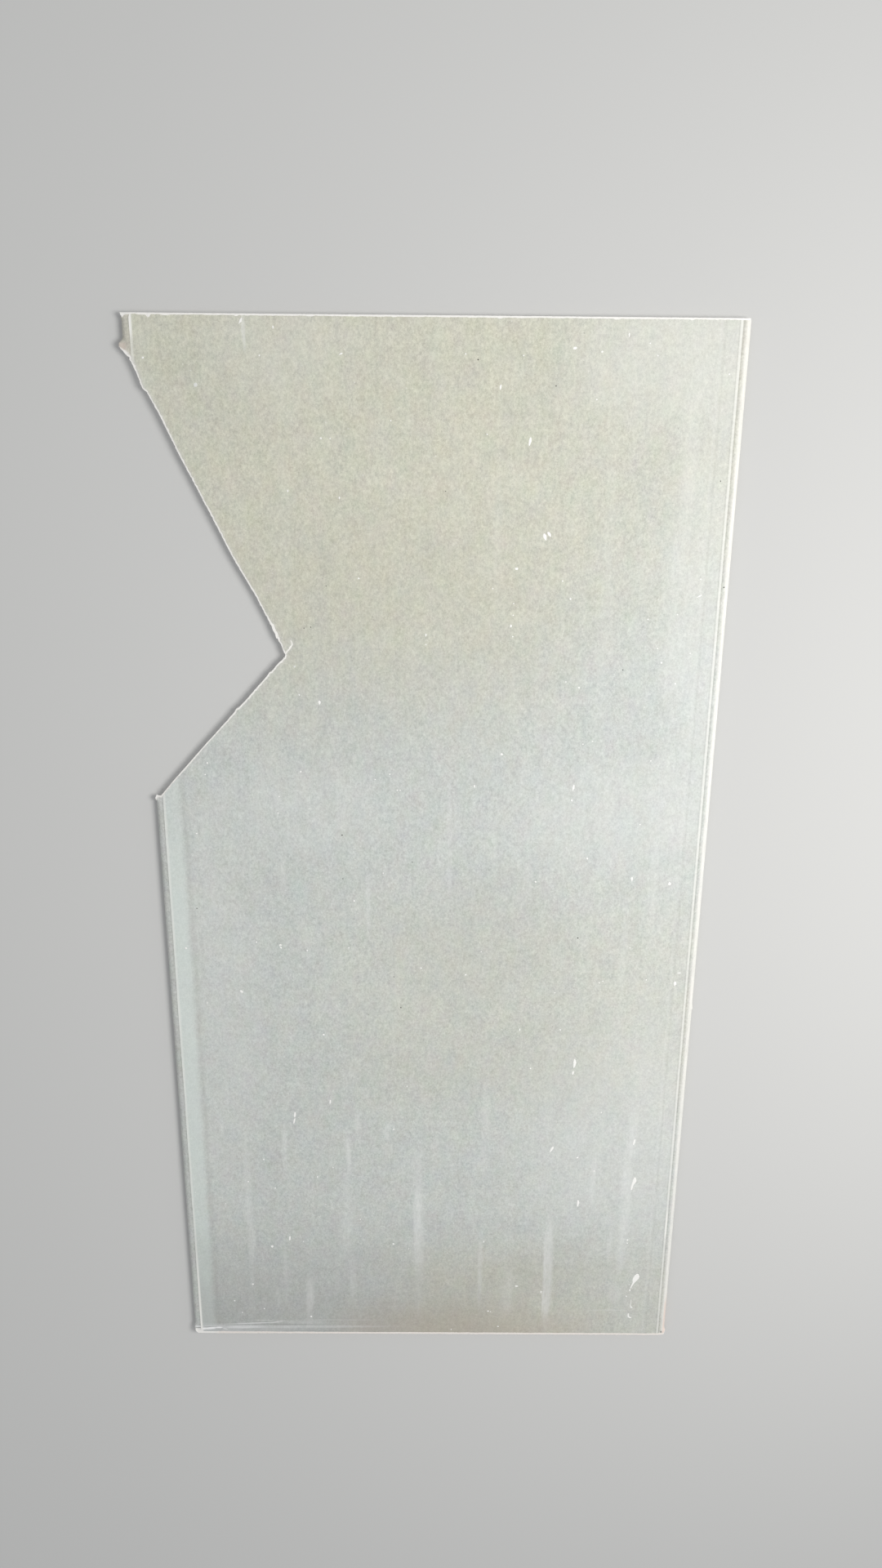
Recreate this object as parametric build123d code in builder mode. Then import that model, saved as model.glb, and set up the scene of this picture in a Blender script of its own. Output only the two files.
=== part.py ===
from build123d import *
from math import atan2, degrees
import os

# A gypsum board of 600 x 1200 x 9.5 mm that lies on its face side, with its back side up.
# A plaster core lies between two papers. The face paper covers the underside, goes round both long
# edges and folds onto the back. The back paper lies over those folds, so its two cut edges show there.
# A triangle is cut out of the left long edge, and the board is torn where the cuts leave the edge.
# Millimetres: X runs across the sheet, Y along it, Z up. The origin is under the sheet's middle.

# The board as it is sold
sheet_width = 600.0
sheet_length = 1200.0
sheet_thickness = 9.5
paper_thickness = 0.3

# The papers' lap along each long edge, measured in from that edge
lap_setback = 8.6
fold_width = 26.0

# The bare plaster rim, where the papers stop short of the sawn ends and of the knife cuts
lower_rim = 2.6
upper_rim = 1.9
end_drop = 0.8
cut_rim = 1.3
cut_drop = 0.8

# The triangle cut out of the left long edge
ear_length = 42.3
notch_mouth = 437.7
notch_depth = 145.3
notch_tip_drop = 282.7
mouth_inset = 6.1

# Torn pieces that stand out past the long edges, each with its reach and the height of its underside
lug_reach = 3.3
lug_height = 19.9
spur_reach = 1.5
spur_height = 7.3
corner_shard_reach = 0.9
corner_shard_height = 4.5
crushed_corner_reach = 1.1
crushed_corner_height = 8.5
torn_root = 8.0
torn_underside = 1.5

# The lower left corner is broken off
broken_corner_width = 4.8
broken_corner_height = 4.1

# The knife ran past the tip of the triangle and slit the back paper
slit_width = 0.9
slit_bends = [Vector(0, 0), Vector(2.7, 3.3), Vector(5.2, 6.4), Vector(7.8, 10.2), Vector(6.3, 14.3)]

# Round chips out of the back: how deep they go, and how far they reach over the rim beside them
chip_depth = 0.6
upper_end_chip = 2.6
upper_cut_chip = 3.4
ear_chip = 2.2

# Cutting tools run this far past what they cut, and this little where they widen upwards
overrun = 1.0
clearance = 0.2

# Places that follow from the sizes above
edge_radius = (sheet_thickness - paper_thickness) / 2
core_radius = edge_radius - paper_thickness
fold_top = 2 * edge_radius
left = -sheet_width / 2
right = sheet_width / 2
lower = -sheet_length / 2
upper = sheet_length / 2
mouth_top = upper - ear_length
mouth_bottom = mouth_top - notch_mouth

notch_start = Vector(left + mouth_inset, mouth_top)
notch_tip = Vector(left + notch_depth, mouth_top - notch_tip_drop)
notch_end = Vector(left + mouth_inset, mouth_bottom)


def ragged(start, end, steps):
    """Points along a cut: each step is a share of the way, and how far it breaks into the sheet."""
    along = end - start
    inward = Vector(-along.Y, along.X).normalized()
    return [start + along * share + inward * depth for share, depth in steps]


# The upper cut bows a little, with a step near the edge and broken plaster near the tip.
upper_cut = ragged(
    notch_start,
    notch_tip,
    [
        (0.045, -0.2),
        (0.076, -1.6),
        (0.089, -1.9),
        (0.100, 0.1),
        (0.177, 0.5),
        (0.307, -0.8),
        (0.652, -1.4),
        (0.800, 1.1),
        (0.920, 0.5),
        (0.940, -0.6),
        (0.966, 0.7),
        (0.985, -0.2),
    ],
)
# The lower cut is straighter, with a crumb left standing near its middle.
lower_cut = ragged(
    notch_tip,
    notch_end,
    [
        (0.018, 1.8),
        (0.076, 0.7),
        (0.103, 1.1),
        (0.124, 0.2),
        (0.138, 0.7),
        (0.319, 0.8),
        (0.370, 0.4),
        (0.384, -0.8),
        (0.400, 0.1),
        (0.613, -0.4),
        (0.910, -0.4),
    ],
)
notch_outline = [
    Vector(left - lug_reach - overrun, mouth_top + lug_height * 0.6),
    Vector(left - lug_reach, mouth_top + lug_height * 0.6),
    Vector(left, mouth_top + lug_height * 0.35),
    Vector(left + mouth_inset, mouth_top + lug_height * 0.11),
    notch_start,
    *upper_cut,
    notch_tip,
    *lower_cut,
    notch_end,
    Vector(left, mouth_bottom + spur_height * 0.1),
    Vector(left - spur_reach, mouth_bottom - spur_height * 0.6),
    Vector(left - lug_reach - overrun, mouth_bottom - spur_height * 0.6),
]

# Each torn piece in plan, from the long edge out and back into the sheet.
ear_lug = [
    Vector(left, mouth_top + lug_height),
    Vector(left - lug_reach, mouth_top + lug_height * 0.75),
    Vector(left - lug_reach, mouth_top + lug_height * 0.5),
    Vector(left, mouth_top),
    Vector(left + torn_root, mouth_top),
    Vector(left + torn_root, mouth_top + lug_height),
]
lower_spur = [
    Vector(left, mouth_bottom - spur_height),
    Vector(left + torn_root, mouth_bottom - spur_height),
    Vector(left + torn_root, mouth_bottom + spur_height * 0.5),
    Vector(left, mouth_bottom + spur_height * 0.5),
    Vector(left - spur_reach, mouth_bottom - spur_height * 0.6),
]
crushed_corner = [
    Vector(right, lower + crushed_corner_height),
    Vector(right + crushed_corner_reach, lower + crushed_corner_height * 0.8),
    Vector(right + crushed_corner_reach * 0.7, lower + crushed_corner_height * 0.5),
    Vector(right, lower),
    Vector(right - torn_root, lower),
    Vector(right - torn_root, lower + crushed_corner_height),
]
corner_shard = [
    Vector(left, upper - corner_shard_height),
    Vector(left - corner_shard_reach, upper - corner_shard_height * 0.3),
    Vector(left, upper),
    Vector(left + corner_shard_height, upper),
]
broken_corner = [
    Vector(left - overrun, lower - overrun),
    Vector(left + broken_corner_width, lower - overrun),
    Vector(left + broken_corner_width, lower),
    Vector(left, lower + broken_corner_height),
    Vector(left - overrun, lower + broken_corner_height),
]


# The middle of each chip, and how far it reaches: one at the upper end's rim, two at the upper cut.
chips = [
    (Vector(left + 26.5, upper - upper_rim), upper_end_chip),
    (notch_start + (notch_tip - notch_start) * 0.914, upper_cut_chip),
    (notch_start + (notch_tip - notch_start) * 0.022, ear_chip),
]


def end_slope(side, rim):
    """The section, in Y and Z, of what is gone from the back of one end."""
    run_on = end_drop * overrun / rim
    return [
        (side * (upper - rim - overrun), sheet_thickness + run_on),
        (side * (upper + overrun), sheet_thickness + run_on),
        (side * (upper + overrun), sheet_thickness - end_drop - run_on),
    ]


# All that is cut away from the full sheet, the same for the core and both papers.
with BuildPart() as cut_away:
    with BuildSketch(Plane.XY.offset(-overrun)):
        for outline in (notch_outline, broken_corner):
            with BuildLine():
                Polyline(*outline, close=True)
            make_face()
    extrude(amount=sheet_thickness + 2 * overrun)
    with BuildSketch(Plane.XY.offset(sheet_thickness - cut_drop)):
        with BuildLine():
            Polyline(*notch_outline, close=True)
        make_face()
    extrude(amount=cut_drop + clearance, taper=-degrees(atan2(cut_rim, cut_drop)))
    with BuildSketch(Plane.XY.offset(sheet_thickness - chip_depth)):
        for place, reach in chips:
            with Locations(place):
                Circle(reach - chip_depth)
    extrude(amount=chip_depth + clearance, taper=-45)
    with BuildSketch(Plane.YZ.offset(left - overrun - lug_reach)):
        for side, rim in ((1, upper_rim), (-1, lower_rim)):
            with BuildLine():
                Polyline(*end_slope(side, rim), close=True)
            make_face()
    extrude(amount=sheet_width + 2 * (overrun + lug_reach))

# The plaster inside the torn pieces, from their ragged underside up to the paper on their back.
with BuildPart() as torn_plaster:
    with BuildSketch(Plane.XY.offset(torn_underside)):
        for outline in (ear_lug, lower_spur, crushed_corner, corner_shard):
            with BuildLine():
                Polyline(*outline, close=True)
            make_face()
    extrude(amount=fold_top - paper_thickness - torn_underside)

# The plaster core, cast as one slab, with a shallow step along each side for the face paper's fold.
with BuildPart() as gypsum_core:
    with BuildSketch(Plane.XZ):
        with Locations((0, edge_radius)):
            SlotOverall(sheet_width - 2 * paper_thickness, 2 * core_radius)
        with Locations((0, fold_top - paper_thickness / 2)):
            Rectangle(sheet_width - 2 * fold_width, paper_thickness)
    extrude(amount=sheet_length / 2, both=True)
    add(torn_plaster.part)
    add(cut_away.part, mode=Mode.SUBTRACT)

gypsum_core.part.label = "gypsum_core"

# The face paper, one strip bent round the core. It still covers the back of three torn pieces, and is
# gone from the shard at the upper left corner.
with BuildPart() as face_paper:
    with BuildSketch(Plane.XZ):
        with Locations((0, edge_radius)):
            SlotOverall(sheet_width, 2 * edge_radius)
            SlotOverall(sheet_width - 2 * paper_thickness, 2 * core_radius, mode=Mode.SUBTRACT)
        with Locations((0, fold_top - paper_thickness / 2)):
            Rectangle(sheet_width - 2 * fold_width, paper_thickness, mode=Mode.SUBTRACT)
    extrude(amount=sheet_length / 2, both=True)
    add(torn_plaster.part, mode=Mode.SUBTRACT)
    with BuildSketch(Plane.XY.offset(fold_top - paper_thickness)):
        for outline in (ear_lug, lower_spur, crushed_corner):
            with BuildLine():
                Polyline(*outline, close=True)
            make_face()
    extrude(amount=paper_thickness)
    with BuildSketch(Plane.XY.offset(fold_top - paper_thickness)):
        with BuildLine():
            Polyline(*corner_shard, close=True)
        make_face()
    extrude(amount=paper_thickness, mode=Mode.SUBTRACT)
    add(cut_away.part, mode=Mode.SUBTRACT)

face_paper.part.label = "face_paper"

# The back paper, a flat strip laid over the folds, slit where the knife ran on past the tip.
with BuildPart() as back_paper:
    with BuildSketch(Plane.XY.offset(fold_top)):
        Rectangle(sheet_width - 2 * lap_setback, sheet_length)
    extrude(amount=paper_thickness)
    add(cut_away.part, mode=Mode.SUBTRACT)
    with BuildSketch(Plane.XY.offset(fold_top)):
        with BuildLine() as slit:
            Polyline(*[notch_tip + bend for bend in slit_bends])
        trace(slit.line, line_width=slit_width)
    extrude(amount=paper_thickness, mode=Mode.SUBTRACT)

back_paper.part.label = "back_paper"

os.makedirs("parts", exist_ok=True)
export_step(gypsum_core.part, "parts/gypsum_core.step")
export_step(face_paper.part, "parts/face_paper.step")
export_step(back_paper.part, "parts/back_paper.step")
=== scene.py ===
import itertools
import math

import bmesh
import bpy
import numpy as np
from mathutils import Matrix, Vector, geometry, kdtree, noise


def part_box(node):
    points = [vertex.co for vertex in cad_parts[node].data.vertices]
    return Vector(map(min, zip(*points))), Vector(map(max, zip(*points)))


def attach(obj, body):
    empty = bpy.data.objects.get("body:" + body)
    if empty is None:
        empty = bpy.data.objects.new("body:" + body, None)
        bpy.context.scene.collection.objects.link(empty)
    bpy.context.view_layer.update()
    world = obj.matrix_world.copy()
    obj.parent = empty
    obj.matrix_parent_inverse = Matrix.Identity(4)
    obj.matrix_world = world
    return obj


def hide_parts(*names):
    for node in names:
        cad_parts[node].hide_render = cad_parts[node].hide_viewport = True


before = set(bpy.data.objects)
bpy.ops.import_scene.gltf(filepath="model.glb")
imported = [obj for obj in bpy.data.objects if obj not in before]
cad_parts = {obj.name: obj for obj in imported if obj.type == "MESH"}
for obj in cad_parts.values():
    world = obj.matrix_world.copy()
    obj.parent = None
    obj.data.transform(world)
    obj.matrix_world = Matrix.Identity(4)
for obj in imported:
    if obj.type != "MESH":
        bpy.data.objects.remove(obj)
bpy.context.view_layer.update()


# The studio: a pale painted floor, one broad soft lamp up on the right and an even pale sky.
# The camera stands over the upper part of the sheet and looks down at it, as in the photograph.
class Shade:
    """One socket of a finish that takes part in Python expressions on values."""

    def __init__(self, finish, socket):
        self.finish, self.socket = finish, socket

    def maths(self, operation, first, second):
        return self.finish.node("Math", {"operation": operation}, {0: first, 1: second})

    def __add__(self, other):
        return self.maths("ADD", self, other)

    def __radd__(self, other):
        return self.maths("ADD", other, self)

    def __sub__(self, other):
        return self.maths("SUBTRACT", self, other)

    def __rsub__(self, other):
        return self.maths("SUBTRACT", other, self)

    def __mul__(self, other):
        return self.maths("MULTIPLY", self, other)

    def __rmul__(self, other):
        return self.maths("MULTIPLY", other, self)

    def __pow__(self, other):
        return self.maths("POWER", self, other)

    def __rpow__(self, other):
        return self.maths("POWER", other, self)

    def __abs__(self):
        return self.maths("ABSOLUTE", self, 0.0)


class Finish:
    """A material or a sky that is put together node by node."""

    def __init__(self, data, ending):
        data.use_nodes = True
        self.data, self.tree = data, data.node_tree
        self.tree.nodes.clear()
        self.ending = self.node("Output" + ending)

    def node(self, kind, settings=None, sockets=None, out=0):
        made = self.tree.nodes.new("ShaderNode" + kind)
        for name, value in (settings or {}).items():
            setattr(made, name, value)
        for name, value in (sockets or {}).items():
            if isinstance(value, Shade):
                self.tree.links.new(value.socket, made.inputs[name])
            else:
                made.inputs[name].default_value = value
        return Shade(self, made.outputs[out] if made.outputs else made)

    def end_with(self, surface):
        self.tree.links.new(surface.socket, self.ending.socket.inputs["Surface"])
        return self.data

    def rise(self, value, start, end):
        """0 before start, 1 after end and smooth between them; start may be the larger one."""
        ends = {"Value": value, "From Min": start, "From Max": end}
        return self.node("MapRange", {"interpolation_type": "SMOOTHSTEP"}, ends)

    def mix(self, share, first, second, how="MIX"):
        """Two colours: the first where share is 0, the second where it is 1."""
        colours = {0: share, 6: first, 7: second}
        return self.node("Mix", {"data_type": "RGBA", "blend_type": how}, colours, out=2)

    def coats(self, colour, *layers):
        """A colour with others laid over it in turn, each given as how much of it shows and its tint."""
        for share, tint in layers:
            colour = self.mix(share, colour, tint)
        return colour

    def toned(self, colour, factor):
        """A colour made paler or darker by a factor."""
        grey = self.node("CombineColor", {}, {0: factor, 1: factor, 2: factor})
        return self.mix(1.0, colour, grey, "MULTIPLY")

    def places(self):
        """Where a point lies, in mm from the middle of the sheet, then its x, y and z by themselves."""
        metres = self.node("TexCoord", out=3)
        place = self.node("VectorMath", {"operation": "SCALE"}, {0: metres, "Scale": 1000.0})
        parted = self.node("SeparateXYZ", {}, {0: place}).socket.node
        return place, *(Shade(self, output) for output in parted.outputs)

    def stored(self, name):
        """An amount that the mesh keeps at its points."""
        return self.node("Attribute", {"attribute_name": name}, out=2)

    def soft_patch(self, place, x, y, half_breadth, half_length, lean=0.0):
        """A soft oblong patch about (x, y) in mm: 1 in its middle and half as much at its half sizes."""
        share, endless = 0.65, 1e6
        flat = {"Vector": place, "Location": (x, y, 0), "Rotation": (0, 0, lean),
                "Scale": (half_breadth / share, half_length / share, endless)}
        spot = self.node("Mapping", {"vector_type": "TEXTURE"}, flat)
        inwards = self.node("TexGradient", {"gradient_type": "SPHERICAL"}, {"Vector": spot}, out=1)
        return self.rise(inwards, 0.0, 0.7)

    def grain(self, place, size, stretch=(1, 1, 1), detail=2.0, seed=0.0):
        """Noise from about -1 to 1 with grains of about size mm, longer where stretch is more than 1."""
        squeeze = {0: place, 1: [1 / (size * s) for s in stretch], 2: (seed, seed * 1.7, seed * 2.3)}
        where = self.node("VectorMath", {"operation": "MULTIPLY_ADD"}, squeeze)
        return (self.node("TexNoise", {}, {"Vector": where, "Scale": 1.0, "Detail": detail}) - 0.5) * 2.6

    def surface(self, colour, rough, gloss, height, strength, depth):
        """Ends with a matt surface: gloss is its specular level, depth how deep its relief goes in mm."""
        relief = {"Height": height, "Strength": strength, "Distance": depth / 1000}
        sockets = {"Base Color": colour, "Roughness": rough, "Normal": self.node("Bump", {}, relief),
                   "Specular IOR Level": gloss}
        return self.end_with(self.node("BsdfPrincipled", {}, sockets))


def seen(red, green, blue):
    """A colour as a screen shows it, from 0 to 255, turned into the light that it reflects."""
    levels = [level / 255 for level in (red, green, blue)]
    return [level / 12.92 if level < 0.04 else ((level + 0.055) / 1.055) ** 2.4 for level in levels] + [1]


floor_paint = Finish(bpy.data.materials.new("floor_paint"), "Material")
floor_paint.end_with(floor_paint.node("BsdfDiffuse", {}, {"Color": seen(213, 213, 212), "Roughness": 0.5}))
floor_half, floor_level = 9, -0.0002
floor_corners = [(-floor_half, -floor_half, floor_level), (floor_half, -floor_half, floor_level),
                 (floor_half, floor_half, floor_level), (-floor_half, floor_half, floor_level)]
floor_mesh = bpy.data.meshes.new("studio_floor")
floor_mesh.from_pydata(floor_corners, [], [(0, 1, 2, 3)])
floor_mesh.materials.append(floor_paint.data)
studio_floor = bpy.data.objects.new("studio_floor", floor_mesh)
bpy.context.collection.objects.link(studio_floor)

sky_level = 0.51
sky_seen_level = 0.86
sky = Finish(bpy.data.worlds.new("studio_sky"), "World")
bpy.context.scene.world = sky.data
seen_directly = sky.node("LightPath")
sky_strength = sky_level + seen_directly * (sky_seen_level - sky_level)
sky.end_with(sky.node("Background", {}, {"Color": (0.97, 0.985, 1.0, 1), "Strength": sky_strength}))

lamp_place = Vector((0.92, 0.36, 1.22))
lamp_aim = Vector((0, 0.05, 0))
lamp = bpy.data.objects.new("soft_lamp", bpy.data.lights.new("soft_lamp", "AREA"))
lamp.data.shape = "DISK"
lamp.data.size = 0.75
lamp.data.energy = 16.0
lamp.data.color = (1.0, 0.985, 0.955)
lamp.location = lamp_place
lamp.rotation_euler = (lamp_aim - lamp_place).to_track_quat("-Z", "Y").to_euler()
bpy.context.collection.objects.link(lamp)

camera_place = Vector((0.00267, 0.47012, 1.10104))
looks_along = Vector((0.00461, -0.29311, -0.95607)).normalized()
camera_up = Vector((-0.00737, 0.95604, -0.29314))
camera_right = looks_along.cross(camera_up).normalized()
camera_up = camera_right.cross(looks_along)
camera = bpy.data.objects.new("camera", bpy.data.cameras.new("camera"))
camera.data.lens = 24.376
camera.data.sensor_width = 36.0
camera.data.clip_start = 0.05
turned = Matrix((camera_right, camera_up, -looks_along)).transposed().to_4x4()
camera.matrix_world = Matrix.Translation(camera_place) @ turned
bpy.context.collection.objects.link(camera)
bpy.context.scene.camera = camera
bpy.context.scene.view_settings.view_transform = "Standard"


# The core: foamed gypsum plaster, cast as one long slab between the two papers and sawn to length.
# Along the cut-out triangle it was scored through the paper and snapped, so it breaks off rough
# there and stands out as a white rim. Places are in mm from the middle of the whole sheet.
core_low, core_high = ([round(metres * 1000, 1) for metres in corner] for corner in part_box("gypsum_core"))
half_length = core_high[1]
# The sheet is half as wide as it is long. Torn pieces stand out past its long edges.
half_width = half_length / 2
paper = core_low[2]
slab_top = core_high[2]
edge_radius = slab_top / 2
flat_half = half_width - edge_radius
core_radius = 4.15
core_half = flat_half + core_radius
fold_width = 26.0
fold_end = half_width - fold_width
# For each kind of rim, how high its outer edge stands and how deep the wall under it is pitted.
rims = {"covered": (99.0, 0.0), "lower end": (9.05, 0.1), "upper end": (8.6, 0.1), "snapped": (8.95, 0.55),
        "corner": (8.8, 0.5)}
rim_kinds = list(rims)

# The upper cut from the left edge to the tip, then the lower cut back to that edge.
cut_points = np.array([
    (-303.4, 569.6), (-300.6, 566.6), (-299.1, 564.3), (-296.6, 561.7), (-293.9, 560.3), (-293.8, 557.7),
    (-291.0, 552.0), (-287.8, 545.0), (-284.7, 535.5), (-283.1, 531.7), (-281.4, 530.3), (-279.8, 529.5),
    (-268.8, 508.0), (-251.8, 470.5), (-223.4, 412.7), (-204.4, 372.9), (-181.6, 332.1), (-171.6, 311.3),
    (-168.0, 304.0), (-166.6, 300.0), (-164.5, 296.0), (-163.5, 291.6), (-161.9, 290.4), (-161.3, 288.6),
    (-158.7, 284.8), (-157.5, 280.8), (-155.5, 276.0), (-154.7, 275.0), (-154.9, 273.6), (-155.9, 271.0),
    (-157.9, 269.4), (-158.7, 268.2), (-161.9, 265.2), (-164.7, 262.8), (-166.7, 260.0), (-169.8, 256.6),
    (-171.8, 255.6), (-173.4, 253.2), (-176.2, 250.2), (-178.6, 247.2), (-198.5, 225.1), (-205.9, 217.4),
    (-208.8, 216.0), (-210.3, 213.0), (-219.3, 202.8), (-240.4, 180.2), (-260.9, 157.4), (-281.7, 134.3),
    (-294.0, 120.0), (-296.4, 119.9), (-298.7, 120.6), (-300.0, 118.2), (-301.5, 115.5),
])
# How wide the broken plaster shows along the cut, by height on the sheet: upper cut, lower cut.
upper_rim = [(275, 1.3), (281, 1.1), (287, 1.5), (292, 2.6), (298, 3.1), (303, 2.7), (310, 1.5),
             (330, 1.3), (400, 1.4), (470, 1.3), (530, 1.4), (547, 1.5), (551.5, 2.4), (554.5, 1.6),
             (558, 1.3), (560.5, 1.5), (563.5, 2.1), (566, 1.4), (568.5, 1.1), (570, 0.8)]
lower_rim = [(113, 0.6), (116, 1.3), (120, 1.4), (125, 1.1), (150, 1.1), (200, 1.1), (213, 1.5),
             (218, 1.4), (235, 1.5), (250, 1.4), (262, 1.3), (268, 1.5), (275, 1.3)]

# How far torn pieces are pushed out past the long edges, by height on the sheet, fading 8 mm in,
# and the share by which their rounding is crushed flat.
pushed_left = [(113.3, 0), (115.5, 1.5), (121, 1.5), (135, 0), (540, 0), (556, 3.4), (569.7, 3.4),
               (572.7, 3.4), (577.5, 0), (595.4, 0), (598.5, 1.5), (600, 1.3)]
pushed_right = [(-600, -0.2), (-599, 0.8), (-597, 1.6), (-595, 1.5), (-592.6, 0.4), (-590, 0),
                (-136, 0), (-135, 1.0), (-132, 0.7), (-128, 0)]
flattened_left = [(-600, 0.95), (-592, 0.9), (-584, 0), (112.8, 0), (115, 0.85), (119, 0.85), (124, 0),
                  (545, 0), (556, 0.92), (573, 0.92), (578, 0), (594.5, 0), (596.5, 0.85), (600, 0.85)]
flattened_right = [(-600, 0.8), (-595, 0.7), (-590.5, 0)]
push_root = 8.0
# The lap lies this much nearer to the edge on the left than on the right.
left_shift = 0.7
# Outside the lap the back slopes down: how steeply, from how far in and over how wide a strip. Beside
# the lap it is also pressed a little hollow.
edge_slopes = [(0.17, 8.2, 3.6), (0.07, 4.2, 3)]
hollow_place, hollow_depth, hollow_breadth = 7.9, 0.12, 0.65
# How high a torn piece stands where it is crushed, and how high the lower left corner does.
torn_height = 8.35
corner_height = 9.1
# The underside of the lower spur broke off further in than its back, by place along the cut.
spur_undercut = [(-299.9, 0), (-299.2, 2.2), (-298.0, 4.4), (-294.0, 4.3), (-289.5, 0)]


def from_table(table, at):
    """The value at a place, read between the rows of a table of places and values."""
    places, values = zip(*table)
    return np.interp(at, places, values)


def push_out(x, y):
    """Where the torn places along the long edges stand, once they are pushed outwards."""
    root = np.clip(1 - (half_width - np.abs(x)) / push_root, 0, 1)
    return x + root * np.where(x < 0, -from_table(pushed_left, y), from_table(pushed_right, y))


def pull_in(x, y):
    """The reverse of push_out on the left side, for outlines that were measured on the torn piece."""
    reach = from_table(pushed_left, y)
    in_from_edge = (x + half_width + reach) / (1 + reach / push_root)
    return np.where(in_from_edge < push_root, in_from_edge - half_width, x)


def lumps(points, size, seed):
    """Smooth noise from about -1 to 1 at points in mm, with lumps of about size mm."""
    points = np.asarray(points, float)
    if points.shape[1] == 2:
        points = np.column_stack([points, np.zeros(len(points))])
    shift = Vector((seed * 17.31, seed * 5.17, seed * 9.73))
    return np.array([1.6 * noise.noise(Vector(point) / size + shift) for point in points])


def steps_along(points, longest):
    """A run of points with more between them, so that no step is longer than that; corners stay."""
    made = [points[0]]
    for start, end in zip(points[:-1], points[1:]):
        count = max(1, math.ceil(np.linalg.norm(np.subtract(end, start)) / longest))
        made += [start + np.subtract(end, start) * k / count for k in range(1, count + 1)]
    return np.array(made)


def smoothed(values, times):
    """A run of values, each but the end ones evened out with its neighbours that many times."""
    values = values.copy()
    for _ in range(times):
        values[1:-1] = (values[:-2] + 2 * values[1:-1] + values[2:]) / 4
    return values


def side_of(line):
    """The unit direction to the left of a run of points, smoothed over its neighbours."""
    ahead = smoothed(np.gradient(line, axis=0), 3)
    left = np.column_stack([-ahead[:, 1], ahead[:, 0]])
    return left / np.linalg.norm(left, axis=1)[:, None]


def beyond(values, limit):
    """The first and the last number of a run's values that are over a limit."""
    numbers = np.nonzero(values > limit)[0]
    return int(numbers[0]), int(numbers[-1])


cut = steps_along(np.column_stack([pull_in(*cut_points.T), cut_points[:, 1]]), 0.7)
tip = int(np.argmax(cut[:, 0]))
cut_side = side_of(cut)
on_upper = np.arange(len(cut)) < tip
roughness = np.where(on_upper, 0.24, np.interp(cut[:, 1], [150, 240, 262], [0.1, 0.16, 0.26]))
roughness[[0, -1]] = 0
cut = cut + cut_side * ((lumps(cut, 2.6, 1) + 0.5 * lumps(cut, 0.9, 2)) * roughness)[:, None]
cut[:, 0] = np.maximum(cut[:, 0], -half_width)
cut_rim = np.where(on_upper, from_table(upper_rim, cut[:, 1]), from_table(lower_rim, cut[:, 1]))
cut_rim = cut_rim * (1 + 0.22 * lumps(cut, 3.5, 3) + 0.12 * lumps(cut, 1.1, 4))


# Creases along the lower end: from x to x, from y to y, half width, height, and how much painted highlight
# they get in the colour, which is painted shade where it is below 0.
creases = [
    (-300, -291, -592.7, -592.3, 0.55, -0.30, -0.65),
    (-292, -273, -591.5, -589.4, 0.6, -0.16, -0.30),
    (-300, -291, -590.6, -589.9, 1.4, 0.12, 0.60),
    (-291, -262, -589.6, -587.8, 0.8, 0.10, 0.22),
    (-293.5, -285, -594.0, -592.9, 1.7, 0.20, 1.40),
    (-287, -273, -593.4, -591.6, 1.5, 0.26, 1.40),
    (-272.5, -265, -591.3, -591.2, 1.3, 0.16, 1.00),
    (-264, -258, -592.4, -594.6, 1.2, 0.12, 0.45),
    (-262, -214, -590.8, -589.8, 2.4, 0.12, 0.36),
    (-222, -66, -590.2, -588.4, 2.0, 0.08, 0.22),
    (-250, -199, -585.3, -583.3, 0.95, 0.14, 0.50),
    (-202, -185, -583.4, -580.1, 1.2, 0.12, 0.36),
    (-236, -148, -585.9, -586.1, 0.8, -0.12, -0.22),
    (-226, -198, -579.3, -579.7, 0.7, 0.07, 0.26),
    (-190, -130, -582.1, -582.9, 3.0, 0.06, 0.13),
    (-196, -108, -595.7, -595.5, 0.7, -0.08, -0.16),
    (-289, -266, -596.1, -595.9, 1.0, -0.14, -0.16),
    (-162, -68, -578.9, -578.1, 1.0, 0.04, 0.12),
]
crease_end = 7.0


def crease_heights(x, y):
    """How high the creases together lift the back, or press it down where it is below 0."""
    total = np.zeros(len(x))
    for x0, x1, y0, y1, width, height, _ in creases:
        across = (y - (y0 + (y1 - y0) * (x - x0) / (x1 - x0))) / width
        fade_in, fade_out = (x - x0 + crease_end / 2) / crease_end, (x1 + crease_end / 2 - x) / crease_end
        total += height * np.exp(-across ** 2) * (np.clip(fade_in, 0, 1) * np.clip(fade_out, 0, 1)) ** 2
    return total


hole_place = (295.4, -595.6)


def pressed(x, y):
    """How the back differs from flat: creases, a bent lower left corner, a small hole at the right."""
    bent = 0.4 * np.clip(1 - (x + half_width) / 70, 0, 1) ** 2 * np.clip(1 - (y + half_length) / 13, 0, 1)
    hole = 0.2 * np.exp(-(((x - hole_place[0]) / 1.1) ** 2 + ((y - hole_place[1]) / 1.4) ** 2) ** 2)
    return crease_heights(x, y) - bent - hole


def worn(x, y, z, change):
    """The height of a point on the back or the upper rounding: it slopes down outside the lap, with a
    hollow beside the lap, follows the given change and is crushed flat on the torn pieces."""
    from_edge = half_width - np.abs(x) + np.where(x < 0, left_shift, 0)
    over = np.clip((z - edge_radius) / (edge_radius / 2), 0, 1)
    slope = sum(steep * np.clip(start - from_edge, 0, breadth) for steep, start, breadth in edge_slopes)
    hollow = hollow_depth * np.exp(-((from_edge - hollow_place) / hollow_breadth) ** 2)
    z = z + over * (change - slope - hollow)
    crushed = np.where(x < 0, from_table(flattened_left, y), from_table(flattened_right, y))
    crushed = crushed * np.clip(1.4 - from_edge / 6, 0, 1)
    flat = np.where((x < 0) & (y < -half_length / 2), corner_height, torn_height)
    return z + np.where(z >= edge_radius - 0.01, crushed * np.maximum(flat - z, 0), 0)


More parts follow.
